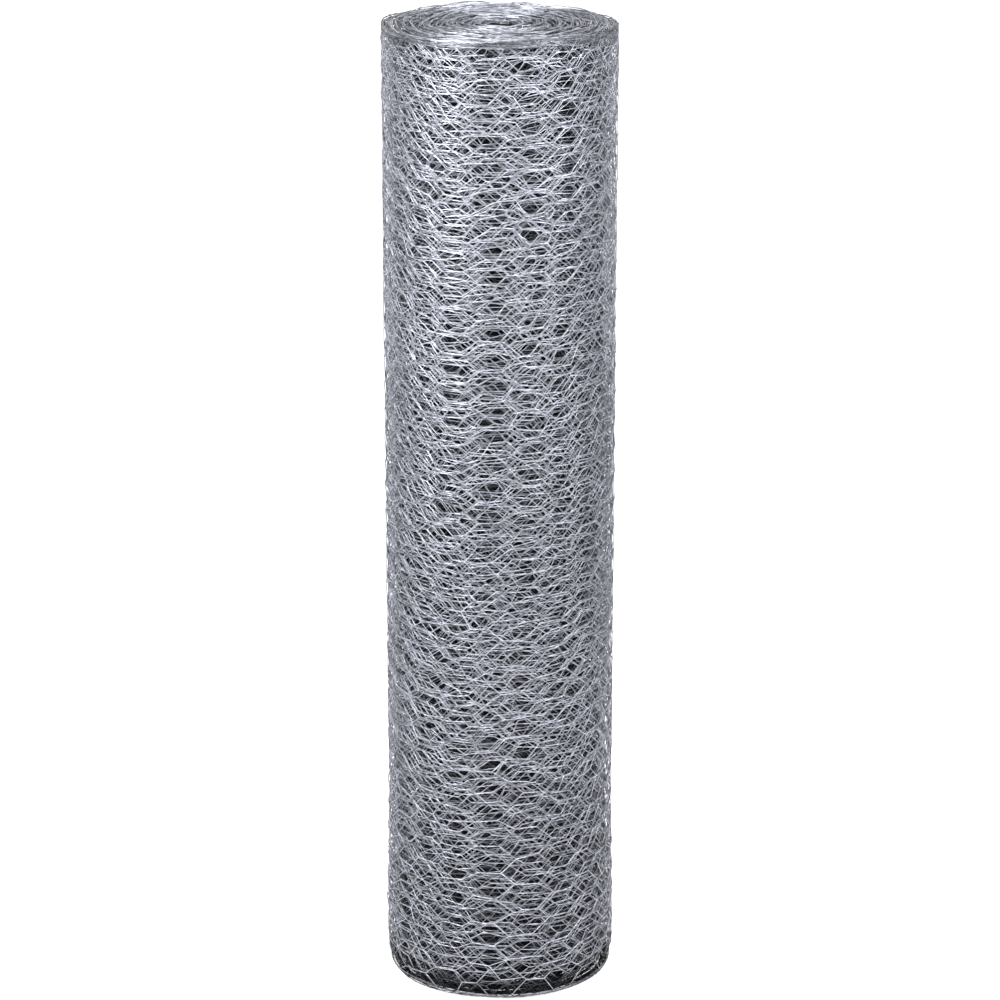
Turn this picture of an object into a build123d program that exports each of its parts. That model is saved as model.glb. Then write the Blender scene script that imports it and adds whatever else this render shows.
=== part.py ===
from build123d import *
import os

# A roll of galvanised hexagonal wire netting, wound on a bar and standing on one end.
# Lengths are in millimetres. The origin is the middle of the foot, and +Z runs up the roll.
# The netting winds inwards anticlockwise, seen from above, from its loose end at the back.

# The netting
netting_width = 914.4  # 36 in netting, which is the height of the roll
wire_diameter = 0.7  # 22 gauge with its zinc
wires_in_a_twist = 2  # the netting is as thick as its twists

# The roll
roll_radius = 109.0  # at mid height
bore_radius = 15.0  # left by the winding bar
loose_end_angle = 60.0  # the outer end of the netting, from +X, so it lies at the back

# The outside, as radius gained or lost over a height
foot_tuck = 2.6  # the foot is drawn in
corner_height = 12.0  # the drawn-in foot turns upright about here
foot_swell = 2.2  # the turns sag and swell a little above the foot
swell_height = 34.0  # height of the widest place
waist_height = 190.0  # the swell has faded out here
head_tuck = 1.2  # the top edge is drawn in less
head_height = 16.0  # over this much below the top edge

# The selvedges, which stand out of both ends as one wound edge
selvedge_relief = 3.0  # depth of the gap between two turns of the edge
edge_pitch = 8.0  # about ten turns of netting bunch into one turn of the edge
edge_gap = 2.6  # gap between two turns of the edge

netting_thickness = wires_in_a_twist * wire_diameter
foot_radius = roll_radius - foot_tuck
head_radius = roll_radius - head_tuck
body_bottom = selvedge_relief
body_top = netting_width - selvedge_relief


def outline(radius):
    """Half the section of the wound netting, between the selvedges, to this mid-height radius."""
    foot = radius - foot_tuck
    belly = radius + foot_swell
    head = radius - head_tuck
    fade_height = (swell_height + waist_height) / 2
    foot_curve = Bezier((foot, body_bottom), (belly, corner_height), (belly, swell_height))
    swell_curve = Bezier(
        (belly, swell_height),
        (belly, fade_height),
        (radius, fade_height),
        (radius, waist_height),
    )
    closing = Polyline(
        (radius, waist_height),
        (radius, netting_width - head_height),
        (head, body_top),
        (0, body_top),
        (0, body_bottom),
        (foot, body_bottom),
    )
    return make_face(foot_curve + swell_curve + closing)


def half_turn(radius, centre_x, start_angle):
    """Half of the roll, turned about a centre that lies a little off the bore."""
    section = Plane.XZ * outline(radius)
    half = revolve(section, axis=Axis.Z, revolution_arc=180)
    return Pos(centre_x, 0, 0) * Rot(0, 0, start_angle) * half


def wound_body():
    """Two half turns about two centres, which leaves the step of the loose end on one side."""
    centre_offset = netting_thickness / 4
    outer_half = half_turn(roll_radius, centre_offset, 0)
    inner_half = half_turn(roll_radius - netting_thickness / 2, -centre_offset, 180)
    return outer_half + inner_half


def wound_edge(outer_radius):
    """The selvedge in plan: a band of half circles about two centres, wound in to the bore."""
    centre_offset = edge_pitch / 4
    band_width = edge_pitch - edge_gap
    room = outer_radius - bore_radius - band_width - 2 * centre_offset
    half_turns = int(2 * room / edge_pitch)
    outside = Curve()
    inside = Curve()
    for step in range(half_turns):
        side = 1 if step % 2 == 0 else -1
        centre = (side * centre_offset, 0)
        radius = outer_radius - centre_offset - step * edge_pitch / 2
        start = 0 if side == 1 else 180
        outside += CenterArc(centre, radius, start, 180)
        inside += CenterArc(centre, radius - band_width, start, 180)
    caps = Line(outside @ 0, inside @ 0) + Line(outside @ 1, inside @ 1)
    return make_face(outside + inside + caps)


def wire_netting_roll():
    """The whole roll as one solid: wound body, wound selvedge on both ends, and the bore."""
    foot_edge = extrude(wound_edge(foot_radius), selvedge_relief)
    head_edge = extrude(Pos(0, 0, body_top) * wound_edge(head_radius), selvedge_relief)
    bore = Pos(0, 0, netting_width / 2) * Cylinder(bore_radius, netting_width)
    turned = wound_body() + foot_edge + head_edge - bore
    return Rot(0, 0, loose_end_angle) * turned


os.makedirs("parts", exist_ok=True)
export_step(wire_netting_roll(), "parts/wire_netting_roll.step")
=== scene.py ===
import math

import bpy
import numpy as np
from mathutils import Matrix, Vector


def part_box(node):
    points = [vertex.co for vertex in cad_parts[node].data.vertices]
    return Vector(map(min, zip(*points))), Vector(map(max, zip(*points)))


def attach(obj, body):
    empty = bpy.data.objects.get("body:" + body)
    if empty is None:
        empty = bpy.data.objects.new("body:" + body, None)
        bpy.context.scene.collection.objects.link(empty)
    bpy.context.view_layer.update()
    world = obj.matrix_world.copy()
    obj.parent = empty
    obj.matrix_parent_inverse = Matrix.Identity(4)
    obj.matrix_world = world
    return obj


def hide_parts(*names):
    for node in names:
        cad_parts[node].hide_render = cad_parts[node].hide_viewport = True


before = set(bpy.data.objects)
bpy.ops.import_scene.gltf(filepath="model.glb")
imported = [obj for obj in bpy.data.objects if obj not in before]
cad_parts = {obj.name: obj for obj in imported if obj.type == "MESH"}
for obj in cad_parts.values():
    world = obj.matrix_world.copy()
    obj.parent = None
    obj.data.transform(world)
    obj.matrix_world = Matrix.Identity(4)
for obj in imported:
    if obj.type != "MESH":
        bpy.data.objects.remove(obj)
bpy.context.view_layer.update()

# A roll of galvanised hexagonal wire netting, standing on one end. All lengths are in metres.
# The netting is drawn flat, as lines of wire, then wound on the roll and given the wire's thickness.
# Flat netting runs along +X from its loose end, +Z goes up it, and +Y faces out of the roll.

MM = 0.001
ROLL = "wire_netting_roll"
low_corner, high_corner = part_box(ROLL)
ROLL_HEIGHT = high_corner.z - low_corner.z

# The netting
WIRE = 0.7 * MM  # 22 gauge with its zinc
WIRE_SIDES = 3  # few, because there are kilometres of wire
CELLS_UP = 37
COLUMN = 33.2 * MM  # from one column of twists to the next
TWIST = 20.5 * MM  # length of a twist
HEAD_ROOM = 10.0 * MM  # the edges at the head are uneven within this
HEAD_WAVES = 3.0 * MM  # each edge also waves by this
FOOT_ROOM = 6.0 * MM  # the edges at the foot have settled to within this
EDGE_DEPTH = 1.2 * MM  # the selvedge wires reach this far beyond the netting's edge row
NETTING_WIDTH = ROLL_HEIGHT - HEAD_ROOM - FOOT_ROOM
CELL = NETTING_WIDTH / CELLS_UP
ROW = CELL / 2  # neighbouring columns are half a cell apart
FOOT_EDGE = -0.5 * MM  # where the selvedges run, up the flat netting
HEAD_EDGE = NETTING_WIDTH + 0.5 * MM
EDGE_TWIST = 16 * MM  # length of one turn of a selvedge's twist
LONG_EDGE_TWIST = 33.2 * MM  # drawn longer in the inner turns, to save faces

# The roll
FOOT_TUCK = 2.6 * MM
FOOT_SWELL = 2.2 * MM
SWELL_HEIGHT = 34 * MM
WAIST_HEIGHT = 190 * MM
HEAD_TUCK = 1.2 * MM
HEAD_HEIGHT = 16 * MM
TURN_PITCH = 0.80 * MM  # the twists of one turn lie in the gaps of the next
ROOM_OUTSIDE = 1.4 * MM  # kept for the thickness and the unevenness of the outermost wires
OUTER_RADIUS = (high_corner.x - low_corner.x) / 2 - FOOT_SWELL - ROOM_OUTSIDE
BORE_RADIUS = 15 * MM
LOOSE_END_ANGLE = math.radians(60)
TURNS = int((OUTER_RADIUS - BORE_RADIUS) / TURN_PITCH) - 1
HIDDEN_FROM_TURN = 34  # no wire further in shows from the side

# How uneven the netting lies
NUDGE_ALONG = 1.2 * MM  # each twist's own, along the netting
NUDGE_UP = 0.9 * MM  # and up it
NUDGE_OUT = 0.15 * MM  # and out of the roll
NUDGE_TILT = math.radians(4)
LEAN = 6.0 * MM  # whole columns lean and wander together, turn on turn
DRIFT_ALONG = 8.0 * MM  # and each turn wanders by itself
STRETCH = 26 * MM  # the weaving stretches and shrinks by this over metres of netting
SAG = 2.5 * MM  # whole rows rise and sag together, turn on turn
DRIFT_UP = 5.0 * MM  # and each turn by itself, most near the head
DRIFT_OUT = 0.2 * MM
CLIMB = 12.0 * MM  # each turn lies higher or lower than the last, so that its wires fill the gaps
CLIMB_CYCLE = 0.618  # of a climb and fall in one turn, so that no two turns near each other agree
TIGHT = 2.6 * MM  # the outermost turns lie closer by this in all
TIGHT_TURNS = 7
BUNCH = 1.6 * MM  # neighbouring turns bunch and part at the ends of the roll
END_TURNS = 3  # the first and last turns, which bunch less

# Wavelengths of that unevenness, along the netting and up it
TURNS_ALIKE = 8  # turns within about this many have the waves round the roll in common
FOOT_EDGE_WAVE = 300 * MM
HEAD_EDGE_WAVE = 130 * MM
SHORT_HEAD_WAVE = 70 * MM
SAG_WAVE = 200 * MM
LONG_DRIFT_UP = (300 * MM, 200 * MM)
SHORT_DRIFT_UP = (90 * MM, 80 * MM)
LEAN_WAVE = 350 * MM
DRIFT_ALONG_WAVES = (400 * MM, 350 * MM)
STRETCH_WAVE = 2200 * MM
DRIFT_OUT_WAVES = (80 * MM, 60 * MM)

# The tone of the wires, from 0 for dull and dark to 1 for bright, with light and shade painted into it by
# turn and height
DULLEST = 0.06
OWN_TONE = 0.52  # each point of the wires has its own tone, up to this
PAINTED_LIGHT = 0.52  # and this painted light is added where the wires are brightest
LOW_OUTER_PAINTED_LIGHT = 0.65  # painted light of the outer turns in the lower part, against the brightest
END_PAINTED_LIGHT = 0.5  # painted light of all turns at the top end, or more
LOW_INNER_PAINTED_SHADE = 0.5  # painted shade: the inner turns lose this in the lower part
HIGH_PAINTED_LIGHT = 0.15  # painted light: the upper part gains this
DEEP_PAINTED_SHADE = 0.7  # painted shade: the deepest turns lose this
HIGH_DEEP_PAINTED_SHADE = 0.3  # but only this in the upper part
TOP_CORNER_PAINTED_SHADE = 0.5  # painted shade: the outer turns lose this at their top
HEAD_EDGE_PAINTED_SHADE = 0.4  # and this painted shade on their selvedges at the head, and the next at the foot
FOOT_EDGE_PAINTED_SHADE = 0.65


def drift(seed, *places):
    """Smooth uneven values from -1 to 1 over places that are given in wavelengths."""
    waves = np.random.default_rng(seed)
    total = 0
    wave_count = 7
    for _ in range(wave_count):
        phase = waves.uniform(0, 2 * math.pi)
        for place in places:
            phase = phase + 2 * math.pi * waves.uniform(-1, 1) * place
        total = total + np.sin(phase)
    return np.clip(total / math.sqrt(wave_count), -1, 1)


def fade(value, start, end):
    """Goes smoothly from 0 to 1 as the value goes from start to end."""
    share = np.clip((value - start) / (end - start), 0, 1)
    return share * share * (3 - 2 * share)


def outline(height):
    """How far the side of the roll stands out or in at this height."""
    tucked = FOOT_SWELL - (FOOT_SWELL + FOOT_TUCK) * np.clip(1 - height / SWELL_HEIGHT, 0, 1) ** 3
    swell = FOOT_SWELL * fade(height, WAIST_HEIGHT, SWELL_HEIGHT)
    head = HEAD_TUCK * np.clip(1 - (ROLL_HEIGHT - height) / HEAD_HEIGHT, 0, 1)
    return np.where(height < SWELL_HEIGHT, tucked, swell) - head


def length_of_turns(turns):
    """Length of netting in the outermost turns."""
    return 2 * math.pi * turns * OUTER_RADIUS - math.pi * TURN_PITCH * turns * turns


def turns_at(along):
    """How many turns the netting has made after this length."""
    wound_area = TURN_PITCH * np.maximum(along, 0) / math.pi
    return (OUTER_RADIUS - np.sqrt(OUTER_RADIUS**2 - wound_area)) / TURN_PITCH


def height_on_roll(along, up, turned, around):
    """Height of the netting on the roll, with uneven edges and with rows that sag, climb and drift."""
    lowest = EDGE_DEPTH + WIRE / 2
    foot = lowest + (FOOT_ROOM - lowest) * (0.5 + 0.5 * drift(1, along / FOOT_EDGE_WAVE))
    head_share = 0.5 + 0.35 * drift(2, along / HEAD_EDGE_WAVE) + 0.15 * drift(6, *around)
    head = ROLL_HEIGHT - EDGE_DEPTH - (HEAD_ROOM - EDGE_DEPTH) * head_share
    share_up = up / NETTING_WIDTH
    height = foot + share_up * (head - foot)

    # The rows are held by the edges and are free a little way from them
    share_up = np.clip(share_up, 0, 1)
    free = (1 - share_up**20) * (1 - (1 - share_up) ** 40)
    height += free * SAG * drift(3, *around, up / SAG_WAVE)
    free = free * (0.5 + 0.5 * fade(share_up, 0, 0.7))
    long_drift = drift(11, along / LONG_DRIFT_UP[0], up / LONG_DRIFT_UP[1])
    short_drift = drift(9, along / SHORT_DRIFT_UP[0], up / SHORT_DRIFT_UP[1])
    height += free * DRIFT_UP * (0.6 * long_drift + 0.4 * short_drift)
    cycles = CLIMB_CYCLE * turned
    height += free * CLIMB * (4 * np.abs(cycles - np.rint(cycles)) - 1)
    edge_waves = 0.5 + 0.5 * drift(10, along / SHORT_HEAD_WAVE)
    return height - (up > NETTING_WIDTH) * HEAD_WAVES * edge_waves


def radius_on_roll(turned, height, around):
    """Radius of the netting on the roll, tightest in the outermost turns and bunched near the ends."""
    radius = OUTER_RADIUS - TURN_PITCH * turned + TIGHT * fade(turned, 0, TIGHT_TURNS)
    near_an_end = fade(np.minimum(height, ROLL_HEIGHT - height), HEAD_HEIGHT, 0)
    bunched = near_an_end * BUNCH * drift(7, *around)
    radius += bunched * fade(turned, 0, END_TURNS) * fade(TURNS - turned, 0, END_TURNS)
    return radius + outline(height) * (radius / OUTER_RADIUS) ** 3


def wire_tone_and_painted_light(turned, height, up):
    """The tone of each point of the wires: its own at random, with light and shade painted in by its turn
    and its height.

    In the upper part the turns a little way in are painted brightest, and in the lower part the
    outermost.
    The deep turns are darkened with painted shade, and near the foot all but the outermost are painted
    dark.
    """
    below_top = ROLL_HEIGHT - height
    at_foot_edge = up < 0
    within = fade(turned, -5, 7) * fade(turned, 22, 12)
    outside = fade(turned, 22, 4)
    low = fade(height, 350 * MM, 0)
    # Painted light: brightest in the turns a little way in above, and in the outermost turns below
    place = within * (1 - low) + LOW_OUTER_PAINTED_LIGHT * outside * low
    # Painted light at the top end of all turns
    place = np.maximum(place, END_PAINTED_LIGHT * fade(below_top, 25 * MM, 0))
    own = np.random.default_rng(12).random(len(turned))
    # Each point's own random tone, plus the painted light
    tone = DULLEST + OWN_TONE * own + PAINTED_LIGHT * place
    # Painted shade: the inner turns are darker in the lower part
    tone *= 1 - LOW_INNER_PAINTED_SHADE * low * (1 - outside)
    # Painted light: the upper part is lighter
    tone *= 1 + HIGH_PAINTED_LIGHT * fade(height, 450 * MM, 750 * MM)
    # Painted shade: the deep turns are darker, less so in the upper part
    deep_painted_shade = DEEP_PAINTED_SHADE - (DEEP_PAINTED_SHADE - HIGH_DEEP_PAINTED_SHADE) * fade(height, 500 * MM, 800 * MM)
    tone *= 1 - deep_painted_shade * fade(turned, 12, 26) * fade(below_top, 12.5 * MM, 37.5 * MM)
    # Painted shade: the outer turns are darker at their top and along their selvedges
    tone *= 1 - TOP_CORNER_PAINTED_SHADE * fade(below_top, 20 * MM, 0) * fade(turned, 18, 6)
    edge_painted_shade = HEAD_EDGE_PAINTED_SHADE * (up > NETTING_WIDTH) + FOOT_EDGE_PAINTED_SHADE * at_foot_edge
    tone *= 1 - edge_painted_shade * fade(turned, 4.5, 1.5)
    # Painted shade: near the foot all but the outermost turns are darker
    tone *= 1 - fade(height, 28 * MM, 12 * MM) * fade(turned - 3 * at_foot_edge, 0.5, 1.5)
    return tone


def wind(piece):
    """Lays a flat piece of netting on the roll, with the unevenness of real winding."""
    flat = np.empty(len(piece.data.vertices) * 3)
    piece.data.vertices.foreach_get("co", flat)
    along, out, up = flat.reshape(-1, 3).T

    column = np.rint(along / COLUMN).astype(int)
    row = np.clip(np.rint(up / ROW).astype(int), 0, 2 * CELLS_UP)
    nudges = np.random.default_rng(7).normal(0, 1, (4, column.max() + 2, 2 * CELLS_UP + 1))
    nudge_up, nudge_tilt, nudge_along, nudge_out = np.clip(nudges, -2, 2)[:, column, row]
    inside = (row > 0) & (row < 2 * CELLS_UP)
    tilted = (along - column * COLUMN) * NUDGE_TILT * nudge_tilt

    turned = turns_at(along)
    around = [np.cos(2 * math.pi * turned), np.sin(2 * math.pi * turned), turned / TURNS_ALIKE]
    height = height_on_roll(along, up, turned, around)
    height += np.where(inside, NUDGE_UP * nudge_up + tilted, 0)

    along = along + LEAN * drift(13, *around, up / LEAN_WAVE)
    wander = drift(4, along / DRIFT_ALONG_WAVES[0], up / DRIFT_ALONG_WAVES[1])
    along = along + DRIFT_ALONG * wander + NUDGE_ALONG * nudge_along
    along = along + STRETCH * drift(8, along / STRETCH_WAVE)
    uneven_out = DRIFT_OUT * drift(5, along / DRIFT_OUT_WAVES[0], up / DRIFT_OUT_WAVES[1])
    turned = turns_at(along)
    radius = radius_on_roll(turned, height, around) + out + uneven_out + NUDGE_OUT * nudge_out
    angle = LOOSE_END_ANGLE + 2 * math.pi * turned
    wound = np.stack([radius * np.cos(angle), radius * np.sin(angle), height], axis=1)
    piece.data.vertices.foreach_set("co", wound.ravel())
    # The tone attribute holds each point's own tone, with painted light and shade
    tone = piece.data.attributes.new("tone", "FLOAT", "POINT")
    tone.data.foreach_set("value", wire_tone_and_painted_light(turned, height, up).astype(np.float32))
    piece.data.update()


def add_node(tree, kind, inputs=None, **settings):
    """Adds a node with its settings, and fills or links its inputs."""
    made = tree.nodes.new(kind)
    for name, value in settings.items():
        setattr(made, name, value)
    for socket, value in (inputs or {}).items():
        if isinstance(value, bpy.types.NodeSocket):
            tree.links.new(value, made.inputs[socket])
        else:
            made.inputs[socket].default_value = value
    return made


def only(piece):
    """Makes this the one selected and active object."""
    bpy.ops.object.select_all(action="DESELECT")
    piece.select_set(True)
    bpy.context.view_layer.objects.active = piece


def draw_line(points):
    """A line of edges through these points, extruded from one vertex."""
    bpy.ops.object.select_all(action="DESELECT")
    bpy.ops.mesh.primitive_plane_add(size=WIRE)
    line = bpy.context.object
    bpy.ops.object.mode_set(mode="EDIT")
    bpy.ops.mesh.merge(type="CENTER")
    bpy.ops.transform.translate(value=points[0])
    for here, there in zip(points, points[1:]):
        bpy.ops.mesh.extrude_region_move(TRANSFORM_OT_translate={"value": there - here})
    bpy.ops.object.mode_set(mode="OBJECT")
    return line


def join(pieces, name):
    """Makes one named piece of several."""
    bpy.ops.object.select_all(action="DESELECT")
    for piece in pieces:
        piece.select_set(True)
    bpy.context.view_layer.objects.active = pieces[0]
    bpy.ops.object.join()
    pieces[0].name = name
    pieces[0].data.name = name
    return pieces[0]


def repeat(piece, count, step, merged=False):
    """Copies a piece with an Array modifier and applies it."""
    only(piece)
    array = piece.modifiers.new("repeat", "ARRAY")
    array.count = count
    array.use_relative_offset = False
    array.use_constant_offset = True
    array.constant_offset_displace = step
    array.use_merge_vertices = merged
    array.merge_threshold = WIRE / 20
    bpy.ops.object.modifier_apply(modifier=array.name)


def shift(piece, distance):
    """Moves a flat piece along the netting."""
    only(piece)
    bpy.ops.transform.translate(value=(distance, 0, 0))
    bpy.ops.object.transform_apply(location=True)


def thickness_tree():
    """A Geometry Nodes group that gives lines the thickness of the wire, as its mean width."""
    tree = bpy.data.node_groups.new("wire_thickness", "GeometryNodeTree")
    tree.interface.new_socket("Geometry", in_out="INPUT", socket_type="NodeSocketGeometry")
    tree.interface.new_socket("Geometry", in_out="OUTPUT", socket_type="NodeSocketGeometry")
    corner_radius = WIRE * math.pi / (2 * WIRE_SIDES * math.sin(math.pi / WIRE_SIDES))
    lines = add_node(tree, "NodeGroupInput")
    curve = add_node(tree, "GeometryNodeMeshToCurve", {"Mesh": lines.outputs[0]})
    section = add_node(
        tree, "GeometryNodeCurvePrimitiveCircle", {"Resolution": WIRE_SIDES, "Radius": corner_radius}
    )
    tube = add_node(
        tree,
        "GeometryNodeCurveToMesh",
        {"Curve": curve.outputs[0], "Profile Curve": section.outputs[0], "Fill Caps": True},
    )
    shaded = add_node(tree, "GeometryNodeSetShadeSmooth", {"Geometry": tube.outputs[0]})
    add_node(tree, "NodeGroupOutput", {"Geometry": shaded.outputs[0]})
    return tree


wire_thickness = thickness_tree()


def wind_and_thicken(piece):
    """Winds a flat piece on the roll and gives its lines the wire's thickness."""
    wind(piece)
    only(piece)
    tubes = piece.modifiers.new("thickness", "NODES")
    tubes.node_group = wire_thickness
    bpy.ops.object.modifier_apply(modifier=tubes.name)


def twisted(start_x, axis_height, start_angle, turns, points_in_a_turn):
    """Points of one wire of a twist, which goes this many whole turns round the twist's axis."""
    steps = max(1, round(turns * points_in_a_turn))
    points = []
    for step in range(steps + 1):
        angle = start_angle + 2 * math.pi * turns * step / steps
        side = Vector((0, math.cos(angle), math.sin(angle))) * WIRE / 2
        points.append(Vector((start_x + TWIST * step / steps, 0, axis_height)) + side)
    return points


def netting(name, first_turn, last_turn, twist_turns, points_in_a_turn):
    """Some turns of netting: two wires are drawn over two columns, repeated, wound and thickened.

    A twist without turns is drawn as two straight wires, one behind the other.
    """
    below, above = (-math.pi / 2, math.pi / 2) if twist_turns else (0, math.pi)
    shape = (twist_turns, points_in_a_turn)
    wires = []
    for side, other_row in ((below, 0), (above, CELL)):
        points = twisted(-TWIST / 2, CELL / 2, side, *shape)
        points += twisted(COLUMN - TWIST / 2, other_row, -side, *shape)
        points.append(points[0] + Vector((2 * COLUMN, 0, 0)))
        wires.append(draw_line(points))
    piece = join(wires, name)
    repeat(piece, CELLS_UP, (0, 0, CELL))
    first = math.ceil(length_of_turns(first_turn) / (2 * COLUMN))
    last = math.ceil(length_of_turns(last_turn) / (2 * COLUMN))
    repeat(piece, last - first, (2 * COLUMN, 0, 0), merged=True)
    shift(piece, first * 2 * COLUMN)
    wind_and_thicken(piece)
    return piece


def selvedge(name, height, first_turn, last_turn, twist_length):
    """The two wires twisted along an edge of the netting, over some turns."""
    points_in_a_twist = 4
    wires = []
    for start_angle in (0, math.pi):
        points = []
        for step in range(points_in_a_twist + 1):
            share = step / points_in_a_twist
            angle = start_angle + 2 * math.pi * share
            side = Vector((0, math.cos(angle), math.sin(angle))) * WIRE / 2
            points.append(Vector((twist_length * share, 0, height)) + side)
        wires.append(draw_line(points))
    piece = join(wires, name)
    first = math.ceil(length_of_turns(first_turn) / twist_length)
    last = math.ceil(length_of_turns(last_turn) / twist_length)
    repeat(piece, last - first, (twist_length, 0, 0), merged=True)
    shift(piece, first * twist_length)
    wind_and_thicken(piece)
    return piece


def inner_turns():
    """The turns that the outer ones hide, as one tube round the bore, a little short of both ends."""
    radius = OUTER_RADIUS - (HIDDEN_FROM_TURN + 0.5) * TURN_PITCH
    short_of_each_end = 8 * MM
    round_the_bore = 2.5 * MM  # left for the innermost turns of netting
    height = ROLL_HEIGHT - 2 * short_of_each_end
    bpy.ops.object.select_all(action="DESELECT")
    bpy.ops.mesh.primitive_cylinder_add(
        vertices=96, radius=radius, depth=height, location=(0, 0, ROLL_HEIGHT / 2)
    )
    piece = bpy.context.object
    piece.name = "inner_turns"
    bpy.ops.object.transform_apply(location=True)
    bpy.ops.object.mode_set(mode="EDIT")
    bpy.ops.mesh.select_mode(type="FACE")
    bpy.ops.mesh.select_all(action="DESELECT")
    bpy.ops.object.mode_set(mode="OBJECT")
    for face in piece.data.polygons:
        face.select = abs(face.normal.z) > 0.9  # the two ends
    bpy.ops.object.mode_set(mode="EDIT")
    bpy.ops.mesh.inset(thickness=radius - BORE_RADIUS - round_the_bore, use_individual=True)
    bpy.ops.mesh.bridge_edge_loops()
    bpy.ops.mesh.select_all(action="SELECT")
    bpy.ops.mesh.normals_make_consistent(inside=False)
    bpy.ops.object.mode_set(mode="OBJECT")
    bpy.ops.object.shade_smooth_by_angle(angle=math.radians(40))
    return piece


MIX_A, MIX_B, MIXED = 6, 7, 2  # the sockets of a Mix node that hold colours


def srgb(code):
    """Linear colour from an sRGB hex value."""
    values = [int(code[i : i + 2], 16) / 255 for i in (1, 3, 5)]
    linear = [v / 12.92 if v <= 0.04045 else ((v + 0.055) / 1.055) ** 2.4 for v in values]
    return (*linear, 1)


def new_material(name):
    """An empty material, and its tree of nodes."""
    material = bpy.data.materials.new(name)
    material.use_nodes = True
    tree = material.node_tree
    tree.nodes.clear()
    return material, tree


def galvanised_steel_wire():
    """Drawn steel wire, hot dip galvanised: bluish grey with a dull shine, clouded by its bloom.

    The bloom is the white film that zinc grows as it weathers. Real patches are a millimetre or
    two across. They are drawn at 4 mm, because finer ones wouldn't show.
    """
    material, tree = new_material("galvanised_steel_wire")
    place = add_node(tree, "ShaderNodeTexCoord").outputs["Object"]
    # The tone attribute carries painted light and shade as well as the wire's own tone
    given_tone_and_painted_light = add_node(tree, "ShaderNodeAttribute", attribute_name="tone").outputs["Fac"]
    bloom = add_node(tree, "ShaderNodeTexNoise", {"Vector": place, "Scale": 1 / (4 * MM), "Detail": 1})
    mottling = add_node(
        tree,
        "ShaderNodeMapRange",
        {"Value": bloom.outputs["Fac"], "From Min": 0.35, "From Max": 0.65, "To Min": 0.7, "To Max": 1.2},
    )
    tone = add_node(
        tree, "ShaderNodeMath", {0: given_tone_and_painted_light, 1: mottling.outputs[0]}, operation="MULTIPLY"
    ).outputs[0]
    # Mixed by tone, from near black, which the painted shade reaches, to bright bluish grey
    colour = add_node(
        tree,
        "ShaderNodeMix",
        {"Factor": tone, MIX_A: srgb("#1A1B1F"), MIX_B: srgb("#C8CBD5")},
        data_type="RGBA",
    )
    rough = add_node(tree, "ShaderNodeMapRange", {"Value": tone, "To Min": 0.28, "To Max": 0.42})
    shader = add_node(
        tree,
        "ShaderNodeBsdfPrincipled",
        {
            "Base Color": colour.outputs[MIXED],
            "Metallic": 0.85,
            "Roughness": rough.outputs["Result"],
        },
    )
    add_node(tree, "ShaderNodeOutputMaterial", {"Surface": shader.outputs[0]})
    return material


def wire_in_painted_shade():
    """The same wire deep in the roll, dull and nearly black in the shade of the turns round it.

    Single wires are too fine to show there, so they are drawn as level streaks of about 5 mm.
    """
    material, tree = new_material("galvanised_steel_wire_in_painted_shade")
    place = add_node(tree, "ShaderNodeTexCoord").outputs["Object"]
    stretched = add_node(tree, "ShaderNodeMapping", {"Vector": place, "Scale": (1, 1, 3)})
    wires = add_node(
        tree, "ShaderNodeTexNoise", {"Vector": stretched.outputs[0], "Scale": 1 / (5 * MM), "Detail": 2}
    )
    tone = add_node(
        tree, "ShaderNodeMapRange", {"Value": wires.outputs["Fac"], "From Min": 0.4, "From Max": 0.62}
    )
    # Painted shade: nearly black, for the shade deep in the roll between the wires
    colour = add_node(
        tree,
        "ShaderNodeMix",
        {"Factor": tone.outputs[0], MIX_A: srgb("#050608"), MIX_B: srgb("#1E2026")},
        data_type="RGBA",
    )
    shader = add_node(
        tree,
        "ShaderNodeBsdfPrincipled",
        {"Base Color": colour.outputs[MIXED], "Metallic": 0.6, "Roughness": 0.55},
    )
    add_node(tree, "ShaderNodeOutputMaterial", {"Surface": shader.outputs[0]})
    return material


# Twists are drawn with their turns where they show, in the outermost turns and round the bore.
wire_pieces = [
    netting("netting_turns_1_to_2", 0, 2, twist_turns=2, points_in_a_turn=4),
    netting("netting_turns_3_to_6", 2, 6, twist_turns=1, points_in_a_turn=3),
    netting("netting_turns_7_to_14", 6, 14, twist_turns=0, points_in_a_turn=1),
    netting("netting_turns_15_to_24", 14, 24, twist_turns=0, points_in_a_turn=1),
    netting("netting_turns_25_to_34", 24, HIDDEN_FROM_TURN, twist_turns=0, points_in_a_turn=1),
    netting("netting_round_the_bore", TURNS - 3, TURNS, twist_turns=1, points_in_a_turn=4),
    selvedge("foot_edge_outer_turns", FOOT_EDGE, 0, 6, EDGE_TWIST),
    selvedge("foot_edge_inner_turns", FOOT_EDGE, 6, TURNS, LONG_EDGE_TWIST),
    selvedge("head_edge_outer_turns", HEAD_EDGE, 0, 6, EDGE_TWIST),
    selvedge("head_edge_inner_turns", HEAD_EDGE, 6, TURNS, LONG_EDGE_TWIST),
]
core = inner_turns()
wire_material = galvanised_steel_wire()
core_material = wire_in_painted_shade()
for piece in [*wire_pieces, core]:
    piece.data.materials.clear()
    piece.data.materials.append(core_material if piece is core else wire_material)
    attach(piece, "root")
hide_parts(ROLL)


def seen(tree):
    """1 for a ray that shows the backdrop itself: straight, mirrored or through glass."""
    path = add_node(tree, "ShaderNodeLightPath")
    rays = path.outputs["Is Camera Ray"]
    for other in ("Is Glossy Ray", "Is Transmission Ray"):
        either = add_node(tree, "ShaderNodeMath", {0: rays, 1: path.outputs[other]}, operation="MAXIMUM")
        rays = either.outputs[0]
    return rays


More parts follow.
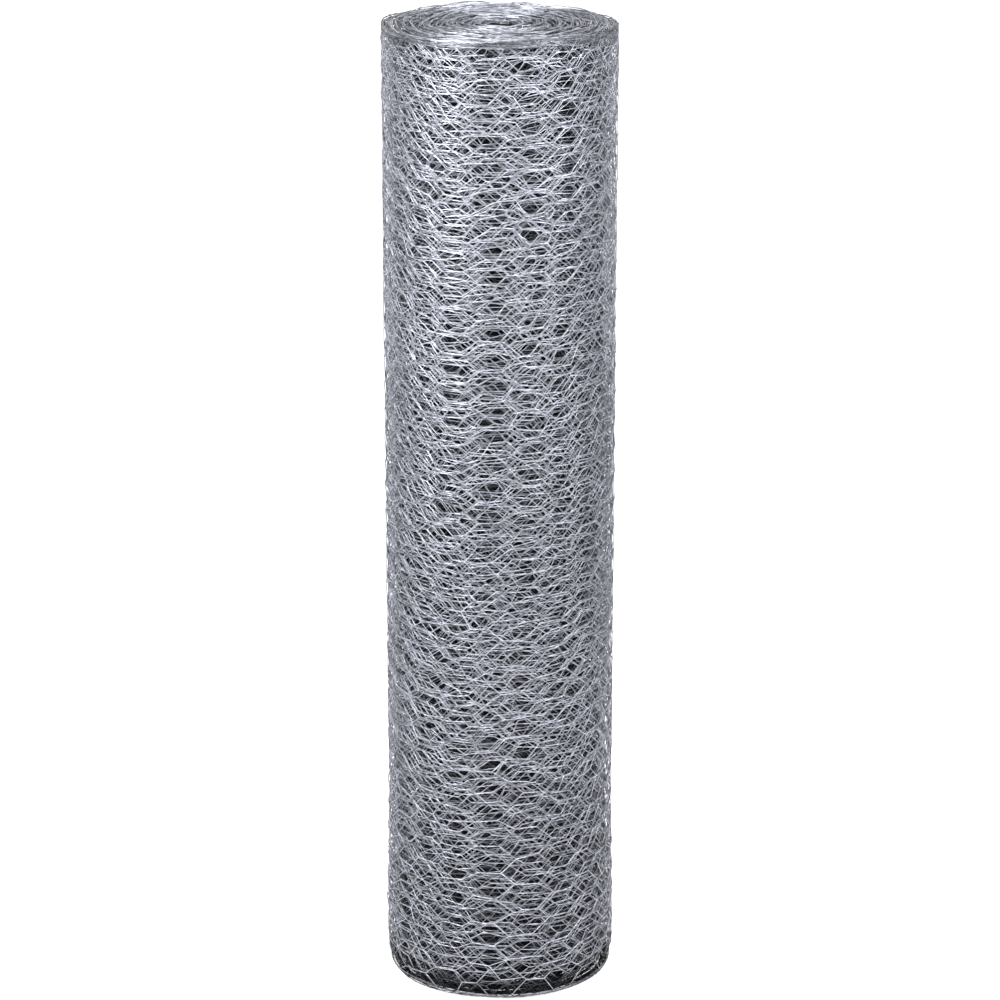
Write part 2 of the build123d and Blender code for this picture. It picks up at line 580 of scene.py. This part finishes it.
def white_floor():
    """A plain white floor that takes the roll's shadow and glows a little where it is seen."""
    bpy.ops.object.select_all(action="DESELECT")
    bpy.ops.mesh.primitive_plane_add(size=30)
    floor = bpy.context.object
    floor.name = "floor"
    material, tree = new_material("white_floor")
    diffuse = add_node(tree, "ShaderNodeBsdfDiffuse", {"Color": srgb("#F4F4F4")})
    glow = add_node(tree, "ShaderNodeEmission", {"Color": (1, 1, 1, 1), "Strength": 0.75})
    dark = add_node(tree, "ShaderNodeEmission", {"Strength": 0.0})
    extra = add_node(
        tree, "ShaderNodeMixShader", {0: seen(tree), 1: dark.outputs[0], 2: glow.outputs[0]}
    )
    both = add_node(tree, "ShaderNodeAddShader", {0: diffuse.outputs[0], 1: extra.outputs[0]})
    add_node(tree, "ShaderNodeOutputMaterial", {"Surface": both.outputs[0]})
    floor.data.materials.append(material)


def white_world():
    """A white surround, which lights the roll less brightly than it shows."""
    world = bpy.data.worlds.new("white_studio")
    bpy.context.scene.world = world
    world.use_nodes = True
    tree = world.node_tree
    tree.nodes.clear()
    lit = add_node(tree, "ShaderNodeBackground", {"Color": (1, 1, 1, 1), "Strength": 0.54})
    white = add_node(tree, "ShaderNodeBackground", {"Color": (1, 1, 1, 1), "Strength": 1.0})
    mixed = add_node(
        tree, "ShaderNodeMixShader", {0: seen(tree), 1: lit.outputs[0], 2: white.outputs[0]}
    )
    add_node(tree, "ShaderNodeOutputWorld", {"Surface": mixed.outputs[0]})


def lamp(name, place, width, height, power):
    """A soft lamp that points at the upper part of the roll."""
    target = Vector((0, 0, 0.75))
    light = bpy.data.lights.new(name, "AREA")
    light.shape = "RECTANGLE"
    light.size = width
    light.size_y = height
    light.energy = power
    lamp_object = bpy.data.objects.new(name, light)
    bpy.context.scene.collection.objects.link(lamp_object)
    lamp_object.location = place
    lamp_object.rotation_euler = (target - Vector(place)).to_track_quat("-Z", "Y").to_euler()


def camera():
    """A tilted camera, from the photograph's side and height."""
    distance = 3.2
    tilt = math.radians(17.5)
    aim = Vector((0, 0, 0.4626))
    lens = bpy.data.cameras.new("camera")
    lens.lens = 123.3
    lens.sensor_width = 36
    eye = bpy.data.objects.new("camera", lens)
    bpy.context.scene.collection.objects.link(eye)
    back = Vector((0, -math.cos(tilt), math.sin(tilt)))
    eye.location = aim + back * distance
    eye.rotation_euler = (-back).to_track_quat("-Z", "Y").to_euler()
    bpy.context.scene.camera = eye


white_floor()
white_world()
lamp("key", (-0.1, -1.0, 1.65), width=1.4, height=0.8, power=17)
lamp("left", (-1.1, -0.9, 1.5), width=0.8, height=1.0, power=44)
lamp("right", (1.1, -0.9, 1.5), width=0.8, height=1.0, power=28)
camera()
bpy.context.scene.view_settings.view_transform = "Standard"
